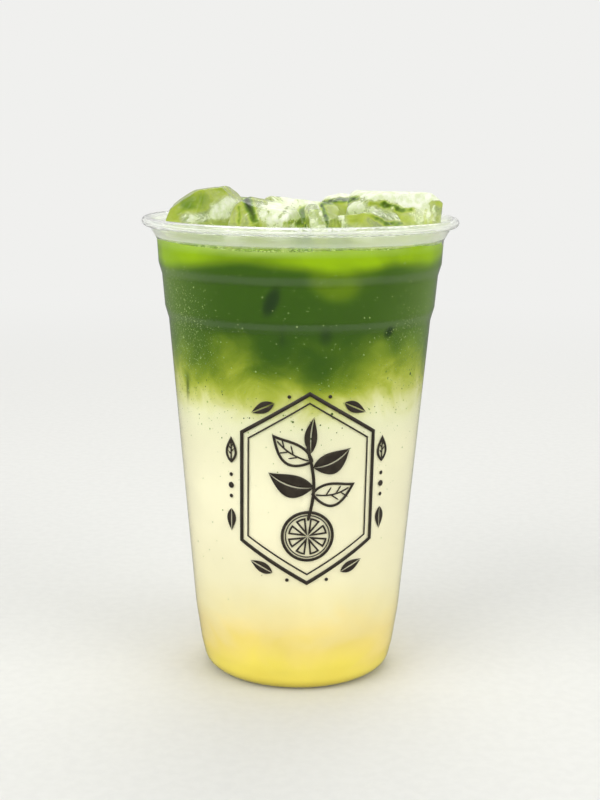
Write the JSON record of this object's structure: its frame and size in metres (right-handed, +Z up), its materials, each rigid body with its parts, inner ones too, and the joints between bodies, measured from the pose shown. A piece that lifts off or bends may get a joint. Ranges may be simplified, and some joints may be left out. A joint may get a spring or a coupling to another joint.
{
  "type": "cup of iced matcha soda",
  "caption": "Clear tapered takeaway cup with a rolled rim and two ledges, full of a drink that runs from green through cream to gold, with ice blocks standing above the rim.",
  "frame": {"origin": "centre of the cup's standing ring, on the floor", "axes": "+Z up the cup's axis to the mouth; -Y is the printed front"},
  "size_m": [0.098, 0.098, 0.1539],
  "materials": {
    "clear_plastic": "thin clear glossy sheet",
    "syrup": "golden syrup, cloudy, glossy behind the cup",
    "soda": "pale cloudy lemon soda",
    "matcha": "opaque green tea, brighter at the surface",
    "ice": "clear ice with frosted faces, tinted by the tea",
    "print_ink": "dark olive-black ink, satin"
  },
  "bodies": {
    "root": {"cup": "clear_plastic", "syrup_layer": "syrup", "soda_layer": "soda", "matcha_layer": "matcha", "ice_left": "ice", "ice_front_left": "ice", "ice_slab": "ice", "ice_front_right": "ice", "ice_right": "ice", "ice_middle": "ice", "ice_back_right": "ice", "ice_back_left": "ice", "ice_back": "ice"}
  },
  "joints": []
}
